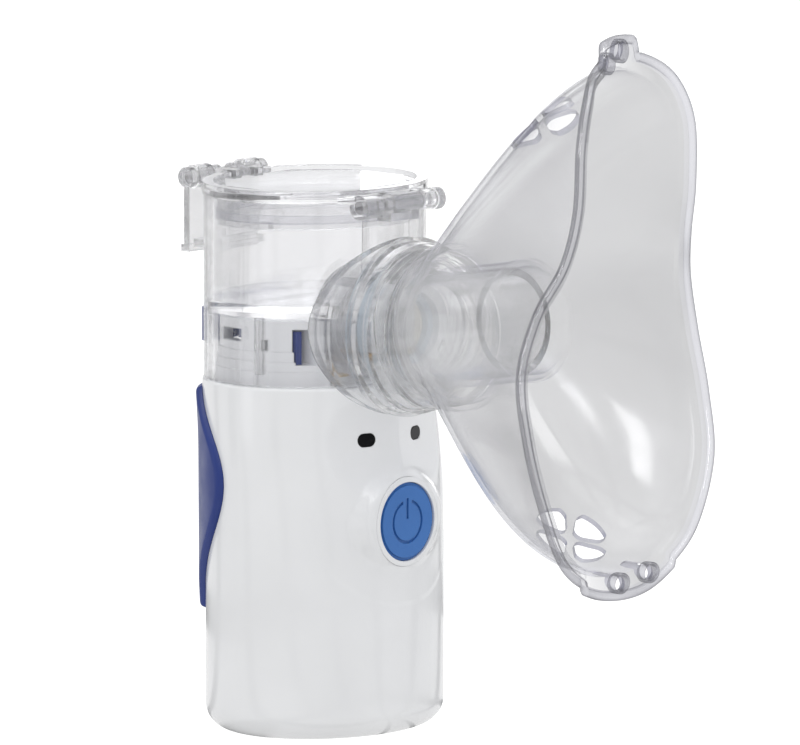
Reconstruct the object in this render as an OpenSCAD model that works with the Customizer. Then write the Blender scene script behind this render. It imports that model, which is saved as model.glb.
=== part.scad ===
// Hand-size mesh nebulizer: battery main unit, lift-off medicine cup with a hinged lid,
// mist adapter and swivelling face mask.
// Millimetres, +Z up. The origin is the centre of the base; the front (button, outlet, mask)
// faces -Y. Names ending in _rx and _ry are half widths along X and half depths along Y.

/* [Main unit] */
// Half width of the housing, side to side
body_rx = 26.2; // [26:0.1:26.5]
// Half depth of the housing, front to back
body_ry = 22.6; // [22.5:0.1:22.8]
// Wall thickness of the housing
wall = 2.0; // [1.8:0.1:2.1]
// Radius of the rounded bottom edge
base_fillet = 5.0; // [4.6:0.1:5.2]

/* [Power button] */
// Radius of the power button
button_r = 8.0; // [7.6:0.1:8.2]
// Height of the power button's centre
button_z = 44; // [43:0.5:45]
// Travel of the power button
button_travel = 0.8; // [0.5:0.1:0.8]

/* [Medicine cup] */
// Half width of the cup
cup_rx = 24.5; // [24.4:0.1:24.7]
// Half depth of the cup
cup_ry = 21.5; // [21.4:0.1:21.7]
// Height of the cup's rim above the base
cup_top = 109.5; // [109:0.1:110]
// Wall thickness of the cup
cup_wall = 2.0; // [1.8:0.1:2.1]

/* [Mist outlet] */
// Height of the mist outlet's axis
outlet_z = 84; // [83.8:0.1:84.2]
// Outside radius of the adapter's large rim
bell_r = 18.8; // [18.4:0.1:19]
// Outside radius of the mask port
port_r = 10.95; // [10.8:0.05:10.95]
// Upward tilt of the mask port, degrees
port_tilt = 9.5; // [9:0.5:10]

/* [Face mask] */
// Thickness of the mask's soft shell
mask_t = 1.3; // [1.2:0.1:1.5]
// Width of the flange around the mask's edge
mask_lip = 3.2; // [2.8:0.1:3.6]
// Turn of the mask about its port at rest, degrees
mask_roll = 4.8; // [0:0.2:6]

/* [Smoothness] */
// Segments around the lofted shells
loft_sides = 64; // [48:4:72]

/* [Hidden] */
facets = 64;

// Housing
body_h = 72;
jack_z = 11;
scoop_turn = 15.6;       // each scoop facet turns this far from the front, degrees
button_shoulder_y = -22.4;
button_face_y = -22.9;

// Battery bay and its door
cell_x = 7.8;
cell_y = 4.5;
door_pin_y = 13.9;
door_pin_z = 3.0;
door_pin_r = 0.75;
door_plate_z = 0.25;
door_plate_t = 1.7;

// Circuit board
board_y = -7.6;          // front face
board_t = 1.6;
board_screw_x = 13.5;
board_screw_zs = [12.5, 56.5];
screw_r = 1.1;
led_x = 5.4;
switch_tip_y = -12.5;

// Deck
deck_screw_x = 13.8;
deck_screw_y = 9.5;
contact_x = 9.6;
contact_z = 75.0;
slot_z = 76.4;           // floor of the front slots
slider_z = 80.9;
spring_z = 81.3;

// Cup, lid and latch
cup_y = 2.8;
cup_end_r = 18.5;        // radius of the outline's side arcs
cup_boss_r = 11.7;
hinge_y = -21.5;
hinge_z = cup_top - 0.3;
hinge_rod_r = 1.3;
lid_z = cup_top + 0.1;
latch_y = 28.5;
latch_z = cup_top + 1.5;
latch_pin_r = 1.3;

// Mesh pack, stacked forward from its seat in the cup's boss
mesh_bore_r = 10.2;
mesh_seat_y = -18.8;
mesh_y = -20.3;
piezo_y = -20.5;
retainer_y = -23.4;

// Mask port: reference point, and unit vectors along the port and square to it
port_origin = [0, -30, outlet_z];
port_axis = [0, -cos(port_tilt), sin(port_tilt)];
port_up = [0, sin(port_tilt), cos(port_tilt)];

// Colours shared by several pieces
shell_white = [0.95, 0.95, 0.96];
deck_white = [0.93, 0.93, 0.94];
navy = [0.13, 0.22, 0.55];
brass = [0.8, 0.75, 0.5];
gold = [0.85, 0.68, 0.3];
clear_cup = [0.75, 0.8, 0.88, 0.4];
clear_pin = [0.8, 0.84, 0.9, 0.5];
clear_adapter = [0.78, 0.82, 0.9, 0.4];
mesh_seal_grey = [0.55, 0.6, 0.66];
seal_grey = [0.8, 0.82, 0.86];

// ---------- shared shapes ----------

// Box centred on x, with its low corner at y and z
module block(x, y, z, size) {
    translate([x - size[0]/2, y, z]) cube(size);
}

// Cylinder along X
module xcyl(y, z, r, x0, x1) {
    translate([x0, y, z]) rotate([0, 90, 0]) cylinder(r = r, h = x1 - x0, $fn = facets);
}

// Cylinder along -Y from y0 forward to y1
module ycyl(x, z, r, y0, y1) {
    translate([x, y0, z]) rotate([90, 0, 0]) cylinder(r = r, h = y0 - y1, $fn = facets);
}

// Cylinder along Z
module zcyl(x, y, r, z0, z1, sides = 32) {
    translate([x, y, z0]) cylinder(r = r, h = z1 - z0, $fn = sides);
}

// Cylinder on the mist axis, from y0 forward to y1
module mist_cyl(r, y0, y1) {
    ycyl(0, outlet_z, r, y0, y1);
}

module mist_ring(outer_r, inner_r, y0, y1) {
    difference() {
        mist_cyl(outer_r, y0, y1);
        mist_cyl(inner_r, y0 + 1, y1 - 1);
    }
}

// Tube, or a rod when inner_r is 0, along the tilted port from its reference point
module port_tube(outer_r, inner_r, start, end) {
    translate(port_origin) rotate([90 - port_tilt, 0, 0]) difference() {
        translate([0, 0, start]) cylinder(r = outer_r, h = end - start, $fn = facets);
        if (inner_r > 0)
            translate([0, 0, start - 1]) cylinder(r = inner_r, h = end - start + 2, $fn = facets);
    }
}

// Oval prism with straight walls: two side arcs and two front and back arcs, all tangent
module oval(rx, ry, end_r, h) {
    end_x = rx - end_r;
    wide_r = (end_r*end_r - end_x*end_x - ry*ry)/(2*(end_r - ry));
    tangent_x = end_x + end_x*end_r/(wide_r - end_r);
    union() {
        for (side = [-1, 1])
            translate([side*end_x, 0, 0]) cylinder(r = end_r, h = h, $fn = facets);
        intersection() {
            translate([0, wide_r - ry, 0]) cylinder(r = wide_r, h = h, $fn = facets);
            translate([0, ry - wide_r, 0]) cylinder(r = wide_r, h = h, $fn = facets);
            block(0, -ry, 0, [2*tangent_x, 2*ry, h]);
        }
    }
}

// Cup outline grown (or shrunk, when negative), between heights z0 and z1
module cup_oval(grow, z0, z1) {
    translate([0, cup_y, z0]) oval(cup_rx + grow, cup_ry + grow, cup_end_r + grow, z1 - z0);
}

// Outline of the lid's plug, between heights z0 and z1
module plug_oval(inset, z0, z1) {
    translate([0, 2.55, z0])
        oval(cup_rx - 2.5 - inset, 18.6 - inset, 15.6 - inset, z1 - z0);
}

// Rectangle with rounded corners, as a prism
module rounded_plate(width, depth, corner_r, h) {
    linear_extrude(h) union() {
        translate([-width/2 + corner_r, -depth/2]) square([width - 2*corner_r, depth]);
        translate([-width/2, -depth/2 + corner_r]) square([width, depth - 2*corner_r]);
        for (i = [-1, 1], j = [-1, 1])
            translate([i*(width/2 - corner_r), j*(depth/2 - corner_r)])
                circle(r = corner_r, $fn = 32);
    }
}

// Prism with a round-ended slot outline, long along X
module pill(length, width, h) {
    union() {
        block(0, -width/2, 0, [length - width, width, h]);
        for (side = [-1, 1]) zcyl(side*(length - width)/2, 0, width/2, 0, h);
    }
}

// Closed skin through rings that all have the same number of points; the first and last rings
// are joined when loop is true, otherwise both ends are capped
module skin(rings, loop = false) {
    n = len(rings[0]);
    m = len(rings);
    points = [for (ring = rings) for (p = ring) p];
    last = loop ? m - 1 : m - 2;
    walls = [for (j = [0:last]) for (i = [0:n - 1])
        let (next_i = (i + 1) % n, above = ((j + 1) % m)*n,
             a = j*n + i, b = j*n + next_i, c = above + next_i, d = above + i)
        each [[a, c, b], [a, d, c]]];
    caps = loop ? [] : [[for (i = [0:n - 1]) i], [for (i = [n - 1:-1:0]) (m - 1)*n + i]];
    polyhedron(points = points, faces = concat(walls, caps), convexity = 10);
}

// Spiral spring along +Z, from mean radius r0 at the bottom to r1 at the top
module coil(r0, r1, wire_r, h, turns, steps) {
    n = turns*steps;
    skin([for (k = [0:n])
        let (turn = 360*k/steps, r = r0 + (r1 - r0)*k/n, z = wire_r + (h - 2*wire_r)*k/n)
        [for (q = [5:-1:0])
            let (across = r + wire_r*cos(60*q))
            [across*cos(turn), across*sin(turn), z + wire_r*sin(60*q)]]]);
}

// ---------- housing ----------

// Upper housing stations: height, centre y, loss of half width, loss of half depth
upper_stations = [
    [40, 0, 0, 0],
    [48, 0.15, 0, 0.1],
    [55, 0.45, 0, 0.5],
    [61, 0.9, 0.1, 0.95],
    [66, 1.5, 0.4, 1],
    [70, 2.1, 0.9, 0.85],
    [body_h, 2.3, 1.2, 0.8]];

function body_ring(z, y, inset, loss_x = 0, loss_y = 0) =
    [for (i = [0:loft_sides - 1]) let (t = 360*i/loft_sides)
        [(body_rx - loss_x - inset)*cos(t), y + (body_ry - loss_y - inset)*sin(t), z]];
function fillet_rings(inset) = [for (j = [0:5]) let (t = 18*j)
    body_ring(base_fillet*(1 - cos(t)), 0, base_fillet*(1 - sin(t)) + inset)];
function upper_rings(inset) =
    [for (s = upper_stations) body_ring(s[0], s[1], inset, s[2], s[3])];

module outer_loft(grow = 0) {
    skin(concat(fillet_rings(-grow), upper_rings(-grow)));
}

// Hollow inside, open at the top
module housing_hollow() {
    top = upper_stations[len(upper_stations) - 1];
    skin(concat(
        [body_ring(wall, 0, wall + 2),
         body_ring(wall + 1.6, 0, wall + 0.6),
         body_ring(wall + 4, 0, wall)],
        upper_rings(wall),
        [body_ring(body_h + 1, top[1], wall, top[2], top[3])]));
}

// Places children at an indicator window, local +Z pointing forward out of the housing
module at_window(side) {
    translate([side*6.1, -14, 61]) rotate([90, 0, side*scoop_turn]) children();
}

module main_housing() color(shell_white) difference() {
    outer_loft();
    housing_hollow();
    // battery opening in the base
    translate([0, 4.2, -1]) rounded_plate(31.4, 15.6, 4, wall + 3);
    block(0, 11, -1, [16.8, 5.8, wall + 3]);
    // opening for the power button's bezel
    ycyl(0, button_z, button_r + 1.65, -17, -30);
    // scoop above the button: two facets that meet in a low ridge and hold the windows
    for (side = [-1, 1]) intersection() {
        translate([0, -20.2, 0]) rotate([0, 0, side*scoop_turn]) xcyl(-30, 64, 30, -20, 20);
        block(side*15, -40, 40, [30, 40, 40]);
    }
    for (side = [-1, 1]) at_window(side) translate([0, 0, -1]) pill(4.3, 2.8, 10);
    // power socket opening
    ycyl(0, jack_z, 4.0, 30, 17);
}

// Grip wrapped around the back, with a leaf-shaped edge
module back_grip() color(navy) intersection() {
    bottom = 24;
    height = 46;
    difference() {
        outer_loft(1.4);
        outer_loft(0.03);
    }
    // side outline, in y and z
    rotate([90, 0, 90]) translate([0, 0, -40]) linear_extrude(80)
        polygon([
            for (k = [0:24]) let (u = k/24)
                [17 - 13*pow(sin(180*pow(u, 1.35)), 1.2), bottom + height*u],
            [40, bottom + height],
            [40, bottom]]);
}

module battery_holder() color([0.2, 0.2, 0.22]) difference() {
    union() {
        block(0, -3.6, 2.7, [33.2, 16.2, 55.3]);
        for (side = [-1, 1]) {
            // feet that carry the door's pin
            block(side*11.0, 8, 2.15, [3.2, 7.1, 5]);
            // posts for the top deck
            zcyl(side*deck_screw_x, deck_screw_y, 2.6, 50, 69.98);
            // posts for the circuit board
            for (z = board_screw_zs) ycyl(side*board_screw_x, z, 2.2, -3.0, board_y + board_t);
        }
    }
    for (side = [-1, 1]) {
        zcyl(side*deck_screw_x, deck_screw_y, screw_r, 61.5, 70.5);
        for (z = board_screw_zs) ycyl(side*board_screw_x, z, screw_r, -2.0, -7.0);
        // cell bores
        zcyl(side*cell_x, cell_y, 7.45, 2, 56.3, facets);
    }
    xcyl(door_pin_y, door_pin_z, door_pin_r, -20, 20);
    // room for the door's knuckle
    block(0, 12.0, 0, [18.4, 3.6, 6.2]);
}

module battery_cells() for (side = [-1, 1]) translate([side*cell_x, cell_y, 0]) union() {
    end_z = side > 0 ? 54.4 : 4.2;
    color([0.25, 0.45, 0.3]) zcyl(0, 0, 7.25, 5.2, 54.4, facets);
    color("silver") zcyl(0, 0, 2.7, end_z, end_z + 1, facets);
}

module battery_springs() color("silver") translate([-cell_x, cell_y, 54.42])
    coil(r0 = 1.5, r1 = 3.8, wire_r = 0.3, h = 1.3, turns = 2.5, steps = 18);

module battery_terminals() color(brass) difference() {
    for (side = [-1, 1]) block(side*cell_x, cell_y - 4.5, 55.8, [9, 9, 0.45]);
    for (side = [-1, 1]) zcyl(side*cell_x, cell_y, 0.8, 55, 58);
}

module circuit_board() color([0.1, 0.38, 0.2]) difference() {
    block(0, board_y, 9, [33, board_t, 52]);
    for (side = [-1, 1], z = board_screw_zs) ycyl(side*board_screw_x, z, screw_r, 0, -12);
}

module board_screws() color("silver") for (side = [-1, 1], z = board_screw_zs) difference() {
    x = side*board_screw_x;
    union() {
        ycyl(x, z, screw_r, -2.4, board_y);
        ycyl(x, z, 2.0, board_y, board_y - 1.3);
    }
    // driver slot
    block(x, -9.5, z - 0.25, [3, 1.2, 0.5]);
}

// Two square chips and two round parts on the front of the board
module board_chips() color([0.12, 0.12, 0.13]) {
    block(-1.5, board_y - 1.7, 24, [7, 1.7, 7]);
    block(-9.5, board_y - 1.4, 33, [5, 1.4, 5]);
    ycyl(9.5, 24, 4.2, board_y, -12.4);
    ycyl(-9.5, 18, 3.0, board_y, -13);
}

module tact_switch() color([0.3, 0.3, 0.32]) union() {
    block(0, board_y - 3.5, button_z - 3, [6, 3.5, 6]);
    ycyl(0, button_z, 1.75, -10.5, switch_tip_y);
}

module indicator_leds() color([0.6, 0.9, 0.6]) for (side = [-1, 1]) union() {
    block(side*led_x, board_y - 1.4, 59.4, [3.2, 1.4, 1.6]);
    ycyl(side*led_x, 60.2, 0.75, -8.8, -10.4);
}

module led_windows() color([0.03, 0.03, 0.03])
    for (side = [-1, 1]) at_window(side) translate([0, 0, 0.8]) pill(4.2, 2.7, 3.65);

module dc_jack() color([0.1, 0.1, 0.1]) difference() {
    union() {
        block(0, 13.0, 6.2, [9.2, 6.2, 9.4]);
        ycyl(0, jack_z, 3.9, 22.0, 18);
    }
    ycyl(0, jack_z, 2.8, 23, 14.0);
}

// Raised ring around the power button
module button_bezel() color(shell_white) difference() {
    union() {
        ycyl(0, button_z, button_r + 1.6, -18.6, button_shoulder_y);
        ycyl(0, button_z, button_r + 1.1, button_shoulder_y + 0.1, button_face_y);
    }
    ycyl(0, button_z, button_r + 0.05, -15, -25);
}

module power_button() color([0.22, 0.45, 0.72]) difference() {
    engrave_y = button_face_y + 0.45;
    union() {
        ycyl(0, button_z, button_r, -17.6, button_shoulder_y);
        ycyl(0, button_z, button_r - 0.6, button_shoulder_y + 0.1, button_face_y);
        // flange behind the bezel
        ycyl(0, button_z, button_r + 1, -16.8, -18.4);
        // stem that stops short of the switch by the travel
        ycyl(0, button_z, 2.2, switch_tip_y - 0.1 - button_travel, -17);
    }
    // engraved power sign: an open ring and a bar
    difference() {
        ycyl(0, button_z, 4.5, engrave_y, -24);
        ycyl(0, button_z, 3.9, -20, -25);
        block(0, -26, button_z + 2, [2.6, 6, 4]);
    }
    block(0, -24, button_z + 0.6, [0.6, engrave_y + 24, 4.2]);
}

// ---------- deck and cup release ----------

// Steps of the deck's wall inside the cup's skirt: growth from the cup outline, z from, z to
deck_steps = [[-2.3, 72, 75], [-2.6, 75, 77], [-2.9, 77, 79], [-3.2, 79, 85.3]];

// Deck that closes the housing and stands up inside the cup's skirt
module top_deck() color(deck_white) difference() {
    union() {
        translate([0, 2.15, 70]) oval(22.6, 19.2, 16.6, 2.02);
        for (step = deck_steps) cup_oval(step[0], step[1], step[2]);
    }
    // room for the release slider
    intersection() {
        cup_oval(-5.4, 69, 83.6);
        block(0, -4.4, 73, [60, 60, 30]);
    }
    // pocket for the cup's mesh chamber
    block(0, -30, 72.2, [24.8, 23.6, 30]);
    // catch windows
    block(0, 2.8, 80.7, [80, 6, 2.6]);
    // opening for the release button
    block(0, 14, 77.5, [24.6, 20, 8.2]);
    for (side = [-1, 1]) {
        // guide groove and the window in it
        block(side*22.4, -4.8, 72.2, [3.4, 3.8, 30]);
        block(side*19.6, -3.1, 79.2, [3.2, 1.4, 2.2]);
        // front slot
        block(side*15.75, -12, slot_z, [3.5, 8.6, 7.2]);
        // screw hole and contact pin hole
        zcyl(side*deck_screw_x, deck_screw_y, screw_r, 65, 74);
        ycyl(side*contact_x, contact_z, 0.7, -3, -8);
    }
}

module deck_screws() color("silver") for (side = [-1, 1]) difference() {
    x = side*deck_screw_x;
    union() {
        zcyl(x, deck_screw_y, screw_r, 62, 73.2);
        zcyl(x, deck_screw_y, 1.6, 73.0, 74.4);
    }
    // driver slot
    block(x, 7, 73.9, [0.5, 5, 2]);
}

module contact_pins() color(gold) for (side = [-1, 1]) union() {
    ycyl(side*contact_x, contact_z, 0.7, -4.4, -6.9);
    ycyl(side*contact_x, contact_z, 0.45, -6.5, -7.2);
}

// Uprights that stand in the deck's two front slots
module catch_blocks() color(navy)
    for (side = [-1, 1]) block(side*16.3, -8.0, slot_z, [1.6, 3.4, 6.8]);

module release_button() color(navy) difference() {
    union() {
        // thumb pad, curved like the cup's back
        difference() {
            intersection() {
                cup_oval(1.6, 78, 85);
                block(0, 17.5, 78, [24, 20, 7]);
            }
            cup_oval(-1.2, 70, 90);
        }
        block(0, 9.2, 79.2, [12, 15, 4.2]);
        // slider bar, and two arms with outward catches
        block(0, 9.2, slider_z, [31.2, 2.0, 2.2]);
        for (side = [-1, 1]) {
            block(side*15.2, 2.6, slider_z, [1.8, 8.2, 2.2]);
            block(side*16.9, 3.4, slider_z, [2.8, 3.2, 2.2]);
        }
    }
    // spring seat
    ycyl(0, spring_z, 1.9, 13.2, 5);
}

module release_spring() color("silver") translate([0, 13.1, spring_z]) rotate([90, 0, 0])
    coil(r0 = 1.5, r1 = 1.5, wire_r = 0.2, h = 17.4, turns = 9, steps = 12);

// ---------- battery door ----------

module battery_door() color(deck_white) difference() {
    union() {
        translate([0, 3.4, door_plate_z]) rounded_plate(31.0, 13.6, 3.8, door_plate_t);
        // tongue and knuckle at the hinge
        block(0, 9, door_plate_z, [16.0, 5.0, door_plate_t]);
        block(0, 12.7, 0.8, [16, 2.3, 2.2]);
        xcyl(door_pin_y, door_pin_z, 1.2, -8.0, 8.0);
    }
    xcyl(door_pin_y, door_pin_z, door_pin_r + 0.05, -20, 20);
    // finger grooves
    for (i = [0:4]) block(0, -1.6 + i*1.5, 0, [12, 0.7, 0.6]);
}

module door_contact() color(brass) block(0, 0.2, door_plate_z + door_plate_t, [25, 8.6, 0.4]);

module door_hinge_pin() color("silver") xcyl(door_pin_y, door_pin_z, door_pin_r, -12.6, 12.6);

// ---------- medicine cup ----------

module medicine_cup() color(clear_cup) difference() {
    union() {
        // outer wall with the liquid bowl and the open skirt
        difference() {
            cup_oval(0, 72.1, cup_top);
            cup_oval(-cup_wall, 88.5, 130);
            cup_oval(-1.8, 70, 86);
        }
        // mesh chamber at the front
        intersection() {
            mist_cyl(11.6, -7.2, -24);
            cup_oval(-0.2, 60, 120);
        }
        // round boss for the mesh pack and the adapter
        mist_cyl(cup_boss_r, -14.6, -29.5);
        // guide ribs
        for (side = [-1, 1]) block(side*22.3, -4.4, 74.5, [1.8, 3.0, 12]);
        // bracket for the lid's hinge rod
        intersection() {
            block(0, hinge_y - 3, hinge_z - 3.6, [8.4, 7, 6]);
            union() {
                xcyl(hinge_y, hinge_z, 2.0, -5, 5);
                block(0, hinge_y - 0.6, hinge_z - 4.2, [10, 8, 4.4]);
            }
        }
        // catch for the latch
        block(0, 23, 99, [16, 2.8, 1.6]);
    }
    // chamber, mist window and bore for the mesh pack
    mist_cyl(9.7, -9.0, -16.6);
    mist_cyl(7.6, -16, -20);
    mist_cyl(mesh_bore_r, mesh_seat_y, -40);
    // the liquid runs into the chamber here
    block(0, -16.2, 86, [13, 6.8, 20]);
    // hinge rod bore
    xcyl(hinge_y, hinge_z, hinge_rod_r, -20, 20);
    // skirt notch around the release button
    block(0, 15, 70, [26.4, 20, 16.4]);
}

// Thin disc with a raised centre and a circle of fine holes
module mesh_disc() color([0.7, 0.72, 0.75]) difference() {
    hole_circle_r = 1.5;
    union() {
        mist_cyl(8.4, mesh_y, piezo_y);
        mist_cyl(2.6, -20.4, -20.8);
    }
    for (k = [0:17])
        ycyl(hole_circle_r*cos(20*k), outlet_z + hole_circle_r*sin(20*k), 0.13, -20, -21);
}

module piezo_ring() color([0.88, 0.84, 0.72]) mist_ring(8.2, 5.5, piezo_y, -21.9);

module rear_mesh_seal() color(mesh_seal_grey)
    mist_ring(mesh_bore_r - 0.1, 7.0, mesh_seat_y, mesh_y);

module front_mesh_seal() color(mesh_seal_grey) difference() {
    mist_cyl(mesh_bore_r - 0.1, piezo_y, retainer_y);
    // recess around the piezo ring
    mist_cyl(8.25, -20, -21.95);
    mist_cyl(6.0, -20, -24);
}

module mesh_retainer() color(shell_white) difference() {
    mist_cyl(mesh_bore_r - 0.05, retainer_y, -25.2);
    mist_cyl(7.6, -23, -26);
    // three notches in the rim
    for (k = [0:2]) translate([0, 0, outlet_z]) rotate([0, 120*k, 0])
        block(0, -26, 8.9, [2.4, 4, 3]);
}

module electrode_strips() color(gold) for (side = [-1, 1]) union() {
    block(side*contact_x, -14.6, 74.2, [2, 6.8, 0.4]);
    block(side*contact_x, -7.8, 74.2, [2, 0.4, 1.7]);
}

module lid_hinge_pin() color(clear_pin) union() {
    xcyl(hinge_y, hinge_z, hinge_rod_r, -13.0, 10.2);
    xcyl(hinge_y, hinge_z, 2.3, 8.5, 10.4);
}

// ---------- lid and latch ----------

// Lid's hinge barrels: x from, x to, radius
hinge_barrels = [[-13.1, -7.5, 2.5], [5.4, 8.4, 2.0]];

module cup_lid() color(clear_cup) difference() {
    union() {
        // plate with a raised rim
        cup_oval(0.3, lid_z, lid_z + 1.4);
        difference() {
            cup_oval(0.3, lid_z + 1.3, lid_z + 2.5);
            cup_oval(-1.9, lid_z + 1.2, lid_z + 2.9);
        }
        // raised eight-sided panel
        translate([0, cup_y, lid_z + 1.3]) linear_extrude(0.7)
            polygon([[-19, -7], [-10, -16], [10, -16], [19, -7],
                [19, 7], [10, 16], [-10, 16], [-19, 7]]);
        // plug inside the cup
        difference() {
            plug_oval(0, 104, lid_z + 0.1);
            plug_oval(1.5, 103, lid_z);
            // groove for the gasket
            difference() {
                plug_oval(-2.5, 105.2, 106.9);
                plug_oval(0.8, 105.1, 107.1);
            }
        }
        // hinge barrels at the front
        for (barrel = hinge_barrels) {
            xcyl(hinge_y, hinge_z, barrel[2], barrel[0], barrel[1]);
            translate([barrel[0], hinge_y, lid_z]) cube([barrel[1] - barrel[0], 7.5, 1.4]);
        }
        // lugs for the latch pin at the back
        for (x = [-3.2, 3.2]) {
            block(x, 21.5, lid_z, [2.6, 7.0, 2.9]);
            xcyl(latch_y, latch_z, 1.9, x - 1.3, x + 1.3);
        }
    }
    xcyl(hinge_y, hinge_z, hinge_rod_r + 0.05, -20, 20);
    xcyl(latch_y, latch_z, latch_pin_r, -20, 20);
}

module lid_gasket() color(seal_grey) difference() {
    plug_oval(-0.35, 105.25, 106.85);
    plug_oval(0.78, 105, 108);
}

module latch_pin() color(clear_pin) union() {
    xcyl(latch_y, latch_z, latch_pin_r, -10, 10);
    for (x = [-10.4, 10.4]) xcyl(latch_y, latch_z, 2.1, x - 0.9, x + 0.9);
}

module latch_clip() color(clear_cup) difference() {
    plate_y = latch_y + 0.8;
    plate_z = 95.4;
    plate_w = 18.6;
    arm_w = 4.5;
    union() {
        for (side = [-1, 1]) {
            x = side*(plate_w - arm_w)/2;
            xcyl(latch_y, latch_z, 2.4, x - arm_w/2, x + arm_w/2);
            block(x, plate_y, latch_z - 5, [arm_w, 1.6, 5]);
        }
        block(0, plate_y, plate_z, [plate_w, 1.6, 12.4]);
        // inward nib below the cup's catch, and the finger lip
        block(0, 25.95, 96.4, [16, 4, 1.6]);
        block(0, plate_y, plate_z, [plate_w, 2.4, 1.4]);
    }
    xcyl(latch_y, latch_z, latch_pin_r + 0.06, -20, 20);
}

// ---------- mist adapter ----------

// Section of the bell with its two ribs: radius, distance in front of y = 0
bell_profile = [
    [bell_r, 9], [bell_r, 18], [bell_r - 0.8, 22.4],
    [bell_r - 0.5, 22.9], [bell_r - 0.5, 24.1], [bell_r - 1.4, 24.6],
    [bell_r - 1.8, 26.1], [bell_r - 1.5, 26.6], [bell_r - 1.5, 27.6],
    [bell_r - 2.2, 28.1], [bell_r - 2.6, 31.2], [10.4, 31.2],
    [10.4, 29.9], [14.9, 29.9], [bell_r - 3.1, 26],
    [bell_r - 2.1, 21.5], [bell_r - 1.5, 18], [bell_r - 1.5, 9]];

module mist_adapter() color(clear_adapter) difference() {
    union() {
        // bell, and the socket that slides over the cup's boss
        translate([0, 0, outlet_z]) rotate([90, 0, 0]) rotate_extrude($fn = 96) union() {
            polygon(bell_profile);
            translate([cup_boss_r + 0.06, 23]) square([1.4, 7.5]);
        }
        // tilted nose that turns the flow upward
        port_tube(15.9, 14.4, -1.9, 4.0);
        port_tube(15.2, 0, 2.8, 4.2);
        port_tube(port_r, 0, 2.9, 22);
    }
    port_tube(9.4, 0, 1.5, 30);
    // saddle edge that clears the cup's round front
    zcyl(0, 2.6, 24.3, 50, 120, 96);
}

module adapter_seal() color(seal_grey) translate([0, 0, outlet_z]) rotate([90, 0, 0])
    rotate_extrude($fn = 64) translate([11.0, 29.7]) circle(r = 0.18, $fn = 16);

// ---------- face mask ----------

module mask_connector() color(clear_adapter) union() {
    port_tube(12.2, port_r + 0.05, 4.4, 27);
    // cup-shaped collar around the mask's neck
    port_tube(15.6, 11.5, 4.4, 5.9);
    port_tube(15.6, 14.4, 5.8, 8.4);
    // bead at the front end
    port_tube(12.5, 12.0, 25.8, 27);
}

// Edge of the mask, +X half from the nose down to the chin: x, y, z
edge_stations = [
    [0, -83.5, 145.3], [8.5, -84.6, 143], [14, -86.6, 138], [17.6, -87.3, 129],
    [18.3, -86.2, 116], [19.6, -83.2, 105.5], [23.6, -79, 96], [27.3, -77, 84],
    [28.1, -78.4, 71], [26.6, -80.2, 57.5], [20.5, -79.8, 44], [11, -79.2, 37],
    [0, -80, 35]];
edge_count = 2*(len(edge_stations) - 1);

// Strap holes through the flange: x, back y, z, half width, half height
strap_holes = [
    [0.4, -76, 145.2, 1.35, 1.9],
    [-3.7, -76, 143.3, 1.25, 1.7],
    [-3.5, -73, 37.6, 2.0, 1.6],
    [5.6, -73, 38.0, 2.0, 1.6]];

mask_sides = 72;
dome_steps = 12;
neck_r = 16.95;
neck_start = 4.5;        // neck and dome starts, along the port from its reference point
dome_start = 8;

// Station k around the whole edge; the -X half mirrors the table
function edge_station(k) = let (i = (k + 2*edge_count) % edge_count)
    i < len(edge_stations) ? edge_stations[i]
    : let (p = edge_stations[edge_count - i]) [-p[0], p[1], p[2]];

// Smooth closed curve through the stations; pos counts stations and may be fractional
function edge_at(pos) = let (i = floor(pos), f = pos - i,
    a = edge_station(i - 1), b = edge_station(i),
    c = edge_station(i + 1), d = edge_station(i + 2))
    0.5*((2*b) + (c - a)*f + (2*a - 5*b + 4*c - d)*f*f + (3*b - a - 3*c + d)*f*f*f);

// Edge point moved inward, in the plane of the face
function edge_in(pos, inset) = let (along = edge_at(pos + 0.02) - edge_at(pos - 0.02))
    edge_at(pos) + [along[2], 0, -along[0]]*inset/norm([along[0], along[2]]);

// Angle around the port for an edge position
function port_angle(pos) = let (t = 360*pos/edge_count) t - 10*sin(t);
function neck_pt(pos, r, dist) = port_origin + port_axis*dist
    + r*(sin(port_angle(pos))*[1, 0, 0] + cos(port_angle(pos))*port_up);

// Dome between the neck and the edge; t runs from 0 at the neck to 1 at the edge
function dome_pt(pos, t, r, inset, shift_y) = let (
    neck = neck_pt(pos, r, dome_start),
    edge = edge_in(pos, inset) + [0, shift_y, 0],
    spread = 1 - pow(1 - t, 1.72 - 0.32*cos(360*pos/edge_count)))
    [neck[0] + (edge[0] - neck[0])*spread,
     neck[1] + (edge[1] - neck[1])*t,
     neck[2] + (edge[2] - neck[2])*spread];

// Up the outside of the neck and dome, round the flange, and back along the inside
module mask_body() {
    spots = [for (i = [mask_sides - 1:-1:0]) edge_count*i/mask_sides];
    inner_r = neck_r - mask_t;
    skin(concat(
        [[for (v = spots) neck_pt(v, neck_r, neck_start)]],
        [for (j = [0:dome_steps])
            [for (v = spots) dome_pt(v, j/dome_steps, neck_r, mask_lip, mask_t)]],
        [[for (v = spots) edge_in(v, 0) + [0, mask_t, 0]]],
        [[for (v = spots) edge_in(v, 0)]],
        [for (j = [dome_steps:-1:0])
            [for (v = spots) dome_pt(v, j/dome_steps, inner_r, mask_lip + mask_t, 0)]],
        [[for (v = spots) neck_pt(v, inner_r, neck_start)]]), true);
}

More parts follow.
